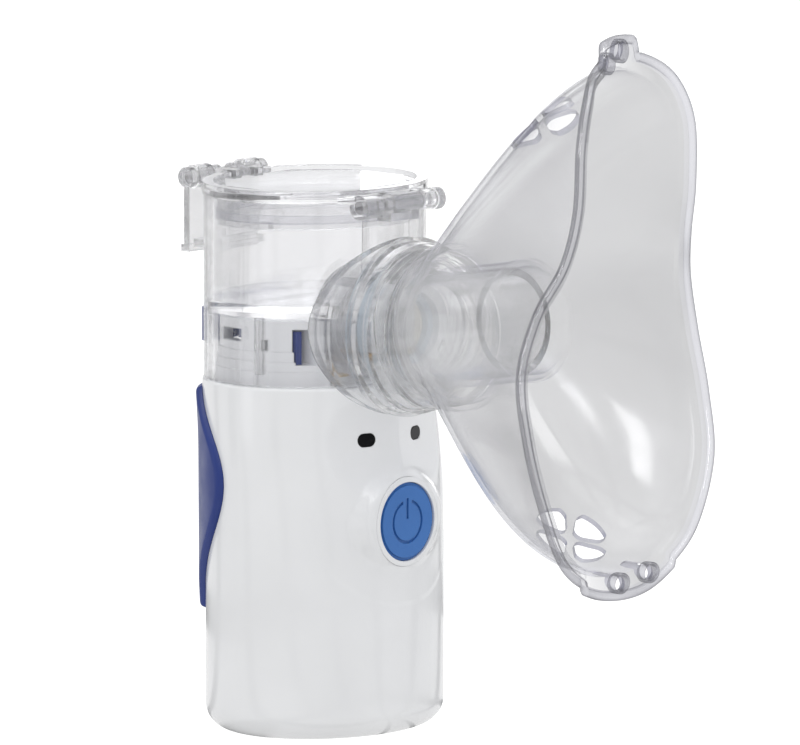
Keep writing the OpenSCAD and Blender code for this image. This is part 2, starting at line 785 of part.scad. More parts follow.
// Vent cutter: four rounded petals around a centre, pushed through the dome
module vents(centre, turn) {
    translate(centre) rotate(turn) for (k = [0:3]) rotate([0, 0, 90*k]) hull() {
        zcyl(2.6, 0, 0.7, -6, 6, 16);
        for (side = [-1, 1]) zcyl(5.5, side*2.2, 1.5, -6, 6, 16);
        zcyl(6.2, 0, 1.6, -6, 6, 16);
    }
}

// Round-ended tab that widens the flange
module flange_tab(half_span, y, z, r, thickness) {
    hull() for (side = [-1, 1]) translate([side*half_span, y, z]) rotate([90, 0, 0])
        cylinder(r = r, h = thickness, $fn = 32);
}

module mask_shell() color([0.82, 0.86, 0.93, 0.35])
    // turn about the port's axis
    translate(port_origin) rotate([90 - port_tilt, 0, 0]) rotate([0, 0, mask_roll])
    rotate([port_tilt - 90, 0, 0]) translate(-port_origin) difference() {
        union() {
            mask_body();
            // wider flange at the nose and the chin for the strap holes
            flange_tab(2.4, -82.5, 145.6, 2.7, mask_t);
            flange_tab(10.0, -78.0, 38.4, 3.6, mask_t + 0.2);
        }
        for (hole = strap_holes)
            translate([hole[0], hole[1], hole[2]]) rotate([90, 0, 0])
                scale([hole[3], hole[4], 1]) cylinder(r = 1, h = 12, $fn = 24);
        // breathing vents below and above the port
        vents([1.6, -62.9, 45.0], [33, 0, 0]);
        vents([0, -60, 131], [-45, 0, 0]);
    }

main_housing();
back_grip();
battery_holder();
battery_cells();
battery_springs();
battery_terminals();
circuit_board();
board_screws();
board_chips();
tact_switch();
indicator_leds();
led_windows();
dc_jack();
button_bezel();
top_deck();
deck_screws();
contact_pins();
door_hinge_pin();
catch_blocks();
power_button();
release_button();
release_spring();
battery_door();
door_contact();
medicine_cup();
mesh_disc();
piezo_ring();
rear_mesh_seal();
front_mesh_seal();
mesh_retainer();
electrode_strips();
lid_hinge_pin();
cup_lid();
lid_gasket();
latch_pin();
latch_clip();
mist_adapter();
adapter_seal();
mask_connector();
mask_shell();
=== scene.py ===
# A handheld nebulizer with a clear face mask, standing upright on the floor at z = 0.
# It is centred on x = 0: the button, medicine cup and mask face -y, the grip wraps the back (+y).
# Piece sizes are in millimetres, and are scaled by MM as meshes are made. The stage is in metres.
import math

import bpy
import bmesh
import numpy as np
from mathutils import Matrix, Vector


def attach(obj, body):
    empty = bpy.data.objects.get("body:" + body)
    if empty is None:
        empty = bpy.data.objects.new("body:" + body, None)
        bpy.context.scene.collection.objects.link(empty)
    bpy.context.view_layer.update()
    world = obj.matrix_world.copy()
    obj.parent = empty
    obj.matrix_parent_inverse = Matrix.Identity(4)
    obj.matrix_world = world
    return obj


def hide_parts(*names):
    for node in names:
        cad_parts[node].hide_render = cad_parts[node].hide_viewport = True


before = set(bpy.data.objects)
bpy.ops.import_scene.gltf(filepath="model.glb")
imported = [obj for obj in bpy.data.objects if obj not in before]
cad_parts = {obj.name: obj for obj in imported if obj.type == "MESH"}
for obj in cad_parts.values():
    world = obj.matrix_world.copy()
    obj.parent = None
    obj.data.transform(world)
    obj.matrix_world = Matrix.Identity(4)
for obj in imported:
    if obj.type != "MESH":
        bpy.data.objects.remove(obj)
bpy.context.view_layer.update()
scene = bpy.context.scene
MM = 0.001

# ------------------------------------------------------------------ shader node helpers


def add_node(tree, kind, inputs=None, **settings):
    """Adds a node. Inputs map a socket to a link or a value; colours are given as r, g, b."""
    node = tree.nodes.new("ShaderNode" + kind)
    for key, value in settings.items():
        setattr(node, key, value)
    for key, value in (inputs or {}).items():
        socket = node.inputs[key]
        if isinstance(value, bpy.types.NodeSocket):
            tree.links.new(value, socket)
        else:
            socket.default_value = (*value, 1) if socket.type == "RGBA" else value
    return node


def new_material(name):
    material = bpy.data.materials.new(name)
    material.use_nodes = True
    material.node_tree.nodes.clear()
    return material, material.node_tree


def set_surface(tree, shader):
    add_node(tree, "OutputMaterial", {"Surface": shader})


def coordinate(tree, kind="Object"):
    return add_node(tree, "TexCoord").outputs[kind]


def scaled_coordinates(tree, scale=(1.0, 1.0, 1.0)):
    inputs = {"Vector": coordinate(tree), "Scale": scale}
    return add_node(tree, "Mapping", inputs).outputs["Vector"]


def calculate(tree, operation, *values):
    return add_node(tree, "Math", dict(enumerate(values)), operation=operation).outputs[0]


def separate(tree, vector):
    return add_node(tree, "SeparateXYZ", {0: vector}).outputs


def noise(tree, vector, scale, detail=3.0, roughness=0.5, distortion=0.0):
    inputs = {"Vector": vector, "Scale": scale, "Detail": detail, "Roughness": roughness,
              "Distortion": distortion}
    return add_node(tree, "TexNoise", inputs).outputs["Fac"]


def map_range(tree, value, from_range, to_range=(0.0, 1.0), **settings):
    inputs = {"Value": value, "From Min": from_range[0], "From Max": from_range[1],
              "To Min": to_range[0], "To Max": to_range[1]}
    return add_node(tree, "MapRange", inputs, **settings).outputs["Result"]


def smooth_step(tree, value, from_range, to_range=(0.0, 1.0)):
    return map_range(tree, value, from_range, to_range, interpolation_type="SMOOTHSTEP")


def patches(tree, vector, scale, to_range=(0.0, 1.0), spread=(0.35, 0.65), **look):
    """Noise whose middle values, the spread, are stretched over to_range."""
    return map_range(tree, noise(tree, vector, scale, **look), spread, to_range)


def mix_color(tree, factor, first, second):
    inputs = {0: factor, 6: first, 7: second}
    return add_node(tree, "Mix", inputs, data_type="RGBA").outputs[2]


def mix_shader(tree, factor, first, second):
    return add_node(tree, "MixShader", {0: factor, 1: first, 2: second}).outputs[0]


def bump_normal(tree, height, strength, distance, **normal):
    inputs = {"Height": height, "Strength": strength, "Distance": distance}
    if normal:
        inputs["Normal"] = normal["normal"]
    return add_node(tree, "Bump", inputs).outputs["Normal"]


def bevel_normal(tree, radius, samples):
    """Normals that look as if edges were rounded to a radius in millimetres."""
    return add_node(tree, "Bevel", {"Radius": radius * MM}, samples=samples).outputs["Normal"]


def transparent(tree, color):
    return add_node(tree, "BsdfTransparent", {"Color": color}).outputs[0]


def lamps_pass(tree, surface, through):
    """Swaps the surface for a transparent shader on shadow and diffuse rays."""
    rays = add_node(tree, "LightPath").outputs
    passing = calculate(tree, "MAXIMUM", rays["Is Shadow Ray"], rays["Is Diffuse Ray"])
    return mix_shader(tree, passing, surface, through)


# ------------------------------------------------------------------ kinds of finish


def solid(name, color, rough, color2=None, metal=0.0, coat=0.0, bump=0.02, grain=900.0,
          edge=0.0, specular=0.5, sheen=0.0):
    """Opaque: a colour that drifts a little, patchy roughness and a fine grain.

    rough is the range of roughness, grain the scale of the bumps, edge a rounding in mm."""
    material, tree = new_material(name)
    vector = scaled_coordinates(tree)
    color2 = color2 or tuple(c * 0.93 for c in color)
    under = {"normal": bevel_normal(tree, edge, samples=6)} if edge else {}
    fine = noise(tree, vector, scale=grain, detail=5.0, roughness=0.6)
    drift = patches(tree, vector, scale=45.0, detail=4.0)
    surface = add_node(tree, "BsdfPrincipled", {
        "Base Color": mix_color(tree, drift, color, color2),
        "Roughness": patches(tree, vector, scale=160.0, to_range=rough),
        "Metallic": metal,
        "Specular IOR Level": specular,
        "Coat Weight": coat,
        "Coat Roughness": 0.06,
        "Sheen Weight": sheen,
        "Normal": bump_normal(tree, fine, strength=bump, distance=0.0001, **under),
    })
    set_surface(tree, surface.outputs[0])
    return material


def glass(name, tint, ior, bump, wave, clear, edge):
    """Moulded clear plastic: refracting and slightly wavy, and lamps shine through it.

    wave is the scale of the waviness, clear the share of light that goes straight on,
    edge a rounding in mm."""
    material, tree = new_material(name)
    vector = scaled_coordinates(tree)
    drift = patches(tree, vector, scale=60.0)
    waves = noise(tree, vector, scale=wave, detail=2.0)
    rounding = bevel_normal(tree, edge, samples=4)
    refracting = add_node(tree, "BsdfPrincipled", {
        "Base Color": mix_color(tree, drift, tint, tuple(c * 0.975 for c in tint)),
        "Transmission Weight": 1.0,
        "IOR": ior,
        "Roughness": patches(tree, vector, scale=220.0, to_range=(0.0, 0.015)),
        "Normal": bump_normal(tree, waves, strength=bump, distance=0.0004, normal=rounding),
    }).outputs[0]
    straight = transparent(tree, tuple(c * 0.98 for c in tint))
    surface = mix_shader(tree, clear, refracting, straight)
    set_surface(tree, lamps_pass(tree, surface, straight))
    return material


def film(name, mid, rim, power, rough, ior, wave, bump=0.05, scatter_and_painted_glow=0.0,
         scatter_and_glow_color=(0.90, 0.90, 0.92), streak=0.0, edge_bump=0.0, left=None):
    """Thin clear sheet: seen straight through, greyer edge-on, with a soft gloss.

    mid and rim are the colours seen face-on and edge-on, power how late one turns to the
    other, wave the scale of the bumps, edge_bump how far they disturb the rim,
    scatter_and_painted_glow the share of light given off by the sheet, a quarter diffuse scatter
    and three quarters a painted glow that shines with no lamp, streak the depth of the streaks,
    left the face-on colour where x < 0, painted as the lit side, so that mid is
    painted shade where x > 0."""
    material, tree = new_material(name)
    vector = scaled_coordinates(tree)

    disturbed = {}
    if edge_bump:
        swirls = noise(tree, vector, scale=wave * 1.6, detail=2.0, distortion=1.6)
        disturbed["Normal"] = bump_normal(tree, swirls, strength=edge_bump, distance=0.0006)
    facing = add_node(tree, "LayerWeight", {"Blend": 0.5, **disturbed}).outputs["Facing"]
    edge_on = calculate(tree, "POWER", facing, power)
    color = mix_color(tree, edge_on, mid, rim)
    # painted shade: the face-on colour is lighter on the -x half, the near wall, and darker on the
    # +x half, as if light fell from one side
    if left:
        across = separate(tree, coordinate(tree))["X"]
        side = map_range(tree, across, from_range=(-0.006, 0.006))
        color = mix_color(tree, side, mix_color(tree, edge_on, left, rim), color)
    if streak:
        stretched = scaled_coordinates(tree, scale=(30, 9, 16))
        shade_factor = patches(tree, stretched, scale=1.0, detail=2.0, roughness=0.4,
                               to_range=(1.0 - streak, 1.0), spread=(0.38, 0.62))
        color = add_node(tree, "VectorMath", {0: color, "Scale": shade_factor},
                         operation="SCALE").outputs[0]
    body = transparent(tree, color)
    # a quarter of this share is diffuse scatter, three quarters a painted glow: an emission that
    # shines without any lamp
    if scatter_and_painted_glow:
        scatter = add_node(tree, "BsdfDiffuse", {"Color": scatter_and_glow_color}).outputs[0]
        glow = add_node(tree, "Emission", {"Color": scatter_and_glow_color, "Strength": 0.9}).outputs[0]
        body = mix_shader(tree, scatter_and_painted_glow, body, mix_shader(tree, 0.75, scatter, glow))

    # the gloss grows from its face-on reflectance towards the rim
    face_on = ((ior - 1) / (ior + 1)) ** 2
    reflect = calculate(tree, "MULTIPLY_ADD", calculate(tree, "POWER", facing, 4.0), 0.75, face_on)
    waves = noise(tree, vector, scale=wave)
    gloss = add_node(tree, "BsdfGlossy", {
        "Color": (1.0, 1.0, 1.0),
        "Roughness": patches(tree, vector, scale=130.0, to_range=rough),
        "Normal": bump_normal(tree, waves, strength=bump, distance=0.0005),
    }).outputs[0]
    surface = mix_shader(tree, reflect, body, gloss)
    through = transparent(tree, (0.965, 0.967, 0.975))
    set_surface(tree, lamps_pass(tree, surface, through))
    return material


# ------------------------------------------------------------------ materials

FINISHES = {
    "white_plastic": (solid, dict(
        color=(0.83, 0.835, 0.84), color2=(0.80, 0.805, 0.81), rough=(0.16, 0.24),
        coat=0.35, bump=0.012, edge=0.25)),
    "grip_blue": (solid, dict(
        color=(0.012, 0.036, 0.215), color2=(0.010, 0.031, 0.19), rough=(0.34, 0.46),
        bump=0.10, grain=2600.0, edge=0.3, sheen=0.05)),
    "button_blue": (solid, dict(
        color=(0.043, 0.172, 0.49), color2=(0.038, 0.155, 0.455), rough=(0.36, 0.46),
        bump=0.05, grain=1800.0, edge=0.22)),
    "black_plastic": (solid, dict(
        color=(0.022, 0.022, 0.025), rough=(0.38, 0.52), bump=0.06, grain=1500.0, edge=0.2)),
    "smoked_window": (solid, dict(
        color=(0.004, 0.004, 0.005), rough=(0.16, 0.24), bump=0.004, edge=0.3, specular=0.22)),
    "cell_wrap": (solid, dict(
        color=(0.05, 0.20, 0.10), color2=(0.04, 0.15, 0.08), rough=(0.22, 0.32), coat=0.3)),
    "steel": (solid, dict(
        color=(0.60, 0.61, 0.63), color2=(0.52, 0.53, 0.56), rough=(0.20, 0.34),
        metal=1.0, bump=0.03, grain=1400.0, edge=0.1)),
    "nickel": (solid, dict(
        color=(0.66, 0.62, 0.54), color2=(0.58, 0.55, 0.49), rough=(0.22, 0.36),
        metal=1.0, bump=0.04, edge=0.1)),
    "gold_contact": (solid, dict(
        color=(0.80, 0.56, 0.22), color2=(0.70, 0.48, 0.20), rough=(0.18, 0.30),
        metal=1.0, bump=0.03, edge=0.1)),
    "board_green": (solid, dict(
        color=(0.015, 0.11, 0.045), color2=(0.012, 0.085, 0.035), rough=(0.25, 0.4),
        coat=0.4, bump=0.08, grain=700.0)),
    "led_body": (solid, dict(
        color=(0.45, 0.72, 0.50), color2=(0.40, 0.62, 0.45), rough=(0.15, 0.25))),
    "ceramic": (solid, dict(
        color=(0.76, 0.71, 0.58), color2=(0.70, 0.65, 0.54), rough=(0.42, 0.55),
        bump=0.07, grain=2200.0, edge=0.1)),
    "silicone": (solid, dict(
        color=(0.50, 0.58, 0.64), color2=(0.45, 0.53, 0.60), rough=(0.40, 0.55),
        bump=0.05, grain=1200.0, edge=0.15)),
    "clear_hard": (glass, dict(
        tint=(0.965, 0.965, 0.972), ior=1.46, bump=0.05, wave=70.0, clear=0.22, edge=0.3)),
    "clear_lid": (glass, dict(
        tint=(0.91, 0.91, 0.92), ior=1.50, bump=0.06, wave=70.0, clear=0.06, edge=0.25)),
    "clear_seal": (film, dict(
        mid=(0.955, 0.955, 0.965), rim=(0.40, 0.41, 0.48), power=3.0, rough=(0.02, 0.06),
        ior=1.45, wave=80.0)),
    "clear_thick": (glass, dict(
        tint=(1.0, 1.0, 1.0), ior=1.48, bump=0.14, wave=75.0, clear=0.16, edge=0.35)),
    # clear_port, clear_soft and clear_bead give off a little painted glow, an emission with no lamp
    # behind it
    "clear_port": (film, dict(
        mid=(1.0, 1.0, 1.0), rim=(0.55, 0.55, 0.65), power=4.0, rough=(0.01, 0.03),
        ior=1.6, wave=60.0, bump=0.30, scatter_and_painted_glow=0.10, scatter_and_glow_color=(1.0, 1.0, 1.0), edge_bump=0.6)),
    # clear_soft is painted lighter on its -x half, the near wall, and painted shade on its +x half,
    # the far wall
    "clear_soft": (film, dict(
        mid=(0.785, 0.785, 0.79), rim=(0.45, 0.45, 0.50), power=5.0, rough=(0.10, 0.18),
        ior=1.46, wave=40.0, scatter_and_painted_glow=0.09, scatter_and_glow_color=(0.97, 0.97, 0.98), streak=0.10,
        left=(0.985, 0.985, 0.99))),
    "clear_bead": (film, dict(
        mid=(0.80, 0.80, 0.82), rim=(0.01, 0.01, 0.04), power=2.0, rough=(0.02, 0.05),
        ior=1.5, wave=80.0, scatter_and_painted_glow=0.06)),
    "clear_wall": (film, dict(
        mid=(0.60, 0.60, 0.66), rim=(0.14, 0.14, 0.18), power=1.6, rough=(0.02, 0.05),
        ior=1.5, wave=80.0)),
}
MATERIALS = {name: kind(name, **look) for name, (kind, look) in FINISHES.items()}

# the CAD pieces that take each material
PIECES = {
    "white_plastic": "main_housing button_bezel top_deck battery_door mesh_retainer",
    "grip_blue": "back_grip catch_blocks release_button",
    "button_blue": "power_button",
    "black_plastic": "battery_holder board_chips tact_switch dc_jack",
    "smoked_window": "led_windows",
    "cell_wrap": "battery_cells",
    "steel": "battery_springs board_screws deck_screws door_hinge_pin release_spring mesh_disc",
    "nickel": "battery_terminals door_contact",
    "gold_contact": "contact_pins electrode_strips",
    "board_green": "circuit_board",
    "led_body": "indicator_leds",
    "ceramic": "piezo_ring",
    "silicone": "rear_mesh_seal front_mesh_seal",
    "clear_hard": "medicine_cup lid_hinge_pin latch_pin latch_clip",
    "clear_lid": "cup_lid",
    "clear_seal": "lid_gasket adapter_seal",
    "clear_thick": "mist_adapter",
    "clear_port": "mask_connector",
    "clear_soft": "mask_shell",
}
MATERIAL_OF = {piece: name for name, pieces in PIECES.items() for piece in pieces.split()}
for name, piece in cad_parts.items():
    for slot in piece.material_slots:
        slot.material = MATERIALS[MATERIAL_OF[name]]

# ------------------------------------------------------------------ mesh helpers


def shade(piece, angle=35.0):
    """Smooth faces, with sharp edges where faces meet at more than angle degrees."""
    mesh = piece.data
    mesh.polygons.foreach_set("use_smooth", [True] * len(mesh.polygons))
    mesh.set_sharp_from_angle(angle=math.radians(angle))
    mesh.update()


def mesh_object(name, verts, faces, materials=(), angle=35.0):
    """A shaded object from vertices in millimetres, with its faces turned outwards."""
    mesh = bpy.data.meshes.new(name)
    mesh.from_pydata((np.asarray(verts, float) * MM).tolist(), [], faces)
    mesh.validate()
    for material in materials:
        mesh.materials.append(MATERIALS[material])
    piece = bpy.data.objects.new(name, mesh)
    scene.collection.objects.link(piece)
    shade(piece, angle)
    bm = bmesh.new()
    bm.from_mesh(mesh)
    bmesh.ops.recalc_face_normals(bm, faces=bm.faces)
    bm.to_mesh(mesh)
    bm.free()
    return piece


def ring_faces(rings, count, closed=False):
    """Quads between rings of count points. The last ring joins the first, or both are capped."""
    faces = []
    for j in range(rings if closed else rings - 1):
        k = (j + 1) % rings
        for i in range(count):
            after = (i + 1) % count
            faces.append((j * count + i, j * count + after, k * count + after, k * count + i))
    if not closed:
        faces += [tuple(range(count))[::-1], tuple(range((rings - 1) * count, rings * count))]
    return faces


def circle_angles(count):
    return np.linspace(0, 2 * np.pi, count, endpoint=False)


def lathe(name, profile, origin, axis, materials=(), count=160, closed=True):
    """Revolves (radius, distance along axis) pairs about an axis that is not parallel to x."""
    axis = np.array(axis, float)
    axis /= np.linalg.norm(axis)
    across = np.cross(axis, [1.0, 0, 0])
    across /= np.linalg.norm(across)
    angles = circle_angles(count)
    spokes = np.outer(np.cos(angles), across) + np.outer(np.sin(angles), np.cross(axis, across))
    verts = np.vstack([np.array(origin) + axis * along + radius * spokes
                       for radius, along in profile])
    piece = mesh_object(name, verts, ring_faces(len(profile), count, closed), materials)
    shade(piece)
    return piece


def rounded(points, radius, segments=5):
    """Turns each corner of a closed outline into a short arc; radius may differ by corner."""
    points = [np.array(p, float) for p in points]
    radii = radius if isinstance(radius, list) else [radius] * len(points)
    arcs = []
    for i, corner in enumerate(points):
        back, ahead = points[i - 1] - corner, points[(i + 1) % len(points)] - corner
        back_length, ahead_length = np.linalg.norm(back), np.linalg.norm(ahead)
        back, ahead = back / back_length, ahead / ahead_length
        cut = min(radii[i], 0.45 * back_length, 0.45 * ahead_length)
        if cut < 0.01 or float(np.clip(back @ ahead, -1, 1)) < -0.995:
            # too small to round, or almost straight
            arcs.append(tuple(corner))
            continue
        start, end = corner + back * cut, corner + ahead * cut
        for k in range(segments + 1):
            t = k / segments
            arcs.append(tuple((1 - t) ** 2 * start + 2 * t * (1 - t) * corner + t ** 2 * end))
    return arcs


def rectangle(x0, x1, y0, y1):
    return [(x0, y0), (x1, y0), (x1, y1), (x0, y1)]


def pill_outline(length, width, steps=14):
    points = []
    for side, start in ((1, -90), (-1, 90)):
        for k in range(steps + 1):
            angle = math.radians(start + 180 * k / steps)
            points.append((side * (length - width) / 2 + width / 2 * math.cos(angle),
                           width / 2 * math.sin(angle)))
    return points


def turn(axis, degrees):
    return Matrix.Rotation(math.radians(degrees), 4, axis)


def cylinder_cutter(start, end, radius):
    axis = np.array(end, float) - np.array(start, float)
    profile = [(radius, 0), (radius, np.linalg.norm(axis))]
    return lathe("cutter", profile, start, axis, count=96, closed=False)


def prism_cutter(outline, z0, z1, place):
    """A prism through a closed x, y outline, from z0 to z1, moved by the matrix place."""
    verts = [tuple(place @ Vector((x, y, z))) for z in (z0, z1) for x, y in outline]
    return mesh_object("cutter", verts, ring_faces(2, len(outline)))


def cut_away(piece, cutters, angle):
    """Cuts the cutters out of the piece, keeps its list of materials and shades it again."""
    for cutter in cutters:
        modifier = piece.modifiers.new("b", "BOOLEAN")
        modifier.operation = "DIFFERENCE"
        modifier.solver = "EXACT"
        modifier.object = cutter
    bpy.context.view_layer.update()
    depsgraph = bpy.context.evaluated_depsgraph_get()
    mesh = bpy.data.meshes.new_from_object(piece.evaluated_get(depsgraph), depsgraph=depsgraph)
    materials = list(piece.data.materials)
    index = np.zeros(len(mesh.polygons), np.int32)
    mesh.polygons.foreach_get("material_index", index)
    piece.modifiers.clear()
    piece.data = mesh
    mesh.materials.clear()
    for material in materials:
        mesh.materials.append(material)
    index = np.minimum(index, len(materials) - 1).astype(np.int32)
    mesh.polygons.foreach_set("material_index", index)
    for cutter in cutters:
        bpy.data.objects.remove(cutter)
    shade(piece, angle)


def register(piece, body, slot, *replaced):
    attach(piece, body)
    if replaced:
        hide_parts(*replaced)


# ------------------------------------------------------------------ housing sections

HALF_WIDTH = 26.2
HALF_DEPTH = 22.6
HEIGHT = 72.0

# height, centre y, half width, half depth; below the first station the section is constant
STATIONS = np.array([
    (40, 0, HALF_WIDTH, HALF_DEPTH),
    (48, 0.15, 26.2, 22.5),
    (55, 0.45, 26.2, 22.1),
    (61, 0.9, 26.1, 21.65),
    (66, 1.5, 25.8, 21.6),
    (70, 2.1, 25.3, 21.75),
    (HEIGHT, 2.3, 25.0, 21.8),
])
SECTION_Z = np.linspace(0, HEIGHT, 289)


def smoothed_sections():
    """The stations at every SECTION_Z, averaged so that the upper housing has no bands."""
    sections = np.stack([np.interp(SECTION_Z, STATIONS[:, 0], STATIONS[:, k])
                         for k in (1, 2, 3)], axis=1)
    window = 13
    reach = window // 2
    kernel = np.ones(window) / window
    # averaging fades in above z = 30 and out again below z = 71
    weight = np.clip((SECTION_Z - 30) / 8, 0, 1) * np.clip((71.0 - SECTION_Z) / 4, 0, 1)
    weight = weight[:, None]
    for _ in range(3):
        padded = np.pad(sections, ((reach, reach), (0, 0)), mode="edge")
        averaged = np.stack([np.convolve(padded[:, k], kernel, mode="valid")
                             for k in range(3)], axis=1)
        sections = sections * (1 - weight) + averaged * weight
    return sections


SECTIONS = smoothed_sections()


def section(z):
    """Centre y, half width and half depth of the housing at height z."""
    return [np.interp(z, SECTION_Z, SECTIONS[:, k]) for k in range(3)]


# ------------------------------------------------------------------ housing

BOTTOM_FILLET = 5.0
WALL = 2.0
FLOOR_TOP = 2.0
HOUSING_POINTS = 288
DISC_RADII = (0.001, 6, 12)

BUTTON_Z = 44
BEZEL_RADIUS = 9.14
BUTTON_HOLE_RADIUS = BEZEL_RADIUS + 0.02
HALO_FRONT = 22.86  # how far the raised halo round the button stands forward
HALO_RADII = (12.6, 10.6)  # in x and z
HALO_FLAT = 0.72  # share of the halo's radius that is flat
HALO_DROP = 2.2

# scoop above the button: an arc about an axis along x, split into two facets by a ridge
SCOOP_Z = 64
SCOOP_REACH = 16
SCOOP_RADIUS = 30
SCOOP_AXIS_Y = -50.2
SCOOP_SLOPE = 0.2792

WINDOW_PLACE = (6.1, -14, 61)  # mirrored in x
WINDOW_TURN = 15.6
WINDOW_SIZE = (4.3, 2.8)

REAR_HOLE_Z = 11
REAR_HOLE_RADIUS = 4.0
BOTTOM_CUT = (-1, 5)  # z range of the cutters through the bottom
DOOR_OPENING = rounded(rectangle(-15.7, 15.7, -7.8, 7.8), 4.0, 8)
DOOR_OPENING_Y = 4.2
BOTTOM_SLOT = rectangle(-8.4, 8.4, 11, 16.8)


def soft_max(a, b, blend):
    return 0.5 * (a + b + np.sqrt((a - b) ** 2 + blend * blend))


def front_relief(x, y, z):
    """Shapes the front: the scoop pushes it in, and the halo round the button stands out."""
    arc = np.sqrt(np.maximum(SCOOP_RADIUS ** 2 - (z - SCOOP_Z) ** 2, 1))
    scoop = SCOOP_AXIS_Y + arc + SCOOP_SLOPE * np.sqrt(x * x + 0.12)
    scoop = np.where(np.abs(z - SCOOP_Z) < SCOOP_REACH, scoop, -60)
    shaped = np.where(y < 0, soft_max(y, scoop, 0.16), y)
    out = np.sqrt((x / HALO_RADII[0]) ** 2 + ((z - BUTTON_Z) / HALO_RADII[1]) ** 2)
    fall = np.maximum(0, (out - HALO_FLAT) / (1 - HALO_FLAT)) ** 2
    halo = -HALO_FRONT + HALO_DROP * fall
    return np.where((y < 0) & (out < 1.6), -soft_max(-shaped, -halo, 0.5) + 0.06, shaped)


def build_housing():
    angles = circle_angles(HOUSING_POINTS)

    def ring(x, y, z):
        return np.stack([x, y, np.full(HOUSING_POINTS, z)], 1)

    def disc_ring(radius, z):
        y = radius * np.sin(angles) * HALF_DEPTH / HALF_WIDTH
        return ring(radius * np.cos(angles), y, z)

    def section_xy(z, inset):
        centre_y, half_width, half_depth = section(z)
        return ((half_width - inset) * np.cos(angles),
                centre_y + (half_depth - inset) * np.sin(angles))

    rings = [disc_ring(radius, 0.0) for radius in DISC_RADII]
    # outer skin as height and inset: bottom fillet, wall, rounded top edge
    outer = [(BOTTOM_FILLET * (1 - math.cos(a)), BOTTOM_FILLET * (1 - math.sin(a)))
             for a in np.radians(np.linspace(0, 90, 17))]
    outer += [(z, 0.0) for z in np.linspace(6, 71.2, 132)]
    outer += [(71.5, 0.0), (71.75, 0.08), (71.93, 0.25), (HEIGHT, 0.5)]
    for z, inset in outer:
        x, y = section_xy(z, inset)
        rings.append(ring(x, front_relief(x, y, z), z))
    # inner wall, top to bottom, thicker near the floor and kept clear of the scoop
    for z in (HEIGHT, 70, 66, 61, 55, 48, 40, 6, 4.5, 3.0, FLOOR_TOP):
        x, y = section_xy(z, WALL + (0 if z >= 6 else (6 - z) * 0.5))
        if 50 < z < 71:
            y = np.maximum(y, -17.4 + 0.26 * np.abs(x))
        rings.append(ring(x, y, z))
    rings += [disc_ring(radius, FLOOR_TOP) for radius in (DISC_RADII[2], DISC_RADII[0])]
    housing = mesh_object("housing_skin", np.vstack(rings),
                          ring_faces(len(rings), HOUSING_POINTS), ["white_plastic"])

    cutters = [cylinder_cutter((0, -15, BUTTON_Z), (0, -30, BUTTON_Z), BUTTON_HOLE_RADIUS)]
    x, y, z = WINDOW_PLACE
    for side in (-1, 1):
        place = Matrix.Translation((side * x, y, z)) @ turn("Z", side * WINDOW_TURN) @ turn("X", 90)
        cutters.append(prism_cutter(pill_outline(*WINDOW_SIZE), -1, 9, place))
    cutters.append(cylinder_cutter((0, 17, REAR_HOLE_Z), (0, 30, REAR_HOLE_Z), REAR_HOLE_RADIUS))
    door_place = Matrix.Translation((0, DOOR_OPENING_Y, 0))
    cutters.append(prism_cutter(DOOR_OPENING, *BOTTOM_CUT, door_place))
    cutters.append(prism_cutter(BOTTOM_SLOT, *BOTTOM_CUT, Matrix.Identity(4)))
    cut_away(housing, cutters, angle=32)
    register(housing, "main_unit", "white_plastic", "main_housing")


def build_bezel():
    """The thin ring in the button hole; its profile is radius, distance forward."""
    inner, back = 8.08, 18.6
    corners = [(inner, back), (inner, 23.0), (BEZEL_RADIUS, HALO_FRONT), (BEZEL_RADIUS, back)]
    bezel = lathe("bezel_skin", rounded(corners, [0.1, 0.22, 0.12, 0.1]), (0, 0, BUTTON_Z),
                  (0, -1, 0), ["white_plastic"], count=144)
    register(bezel, "main_unit", "white_plastic", "button_bezel")


# ------------------------------------------------------------------ grip

GRIP_BOTTOM = 24
GRIP_HEIGHT = 46
GRIP_ROWS = 120
GRIP_COLUMNS = 120
GRIP_EDGE_RADIUS = 1.3
GRIP_RISE = 1.36  # how far it stands above its own edge
GRIP_EDGE_LIFT = 0.04
GRIP_INNER_LIFT = 0.02
GRIP_MEAN_RADIUS = 24  # turns angles into lengths round the housing


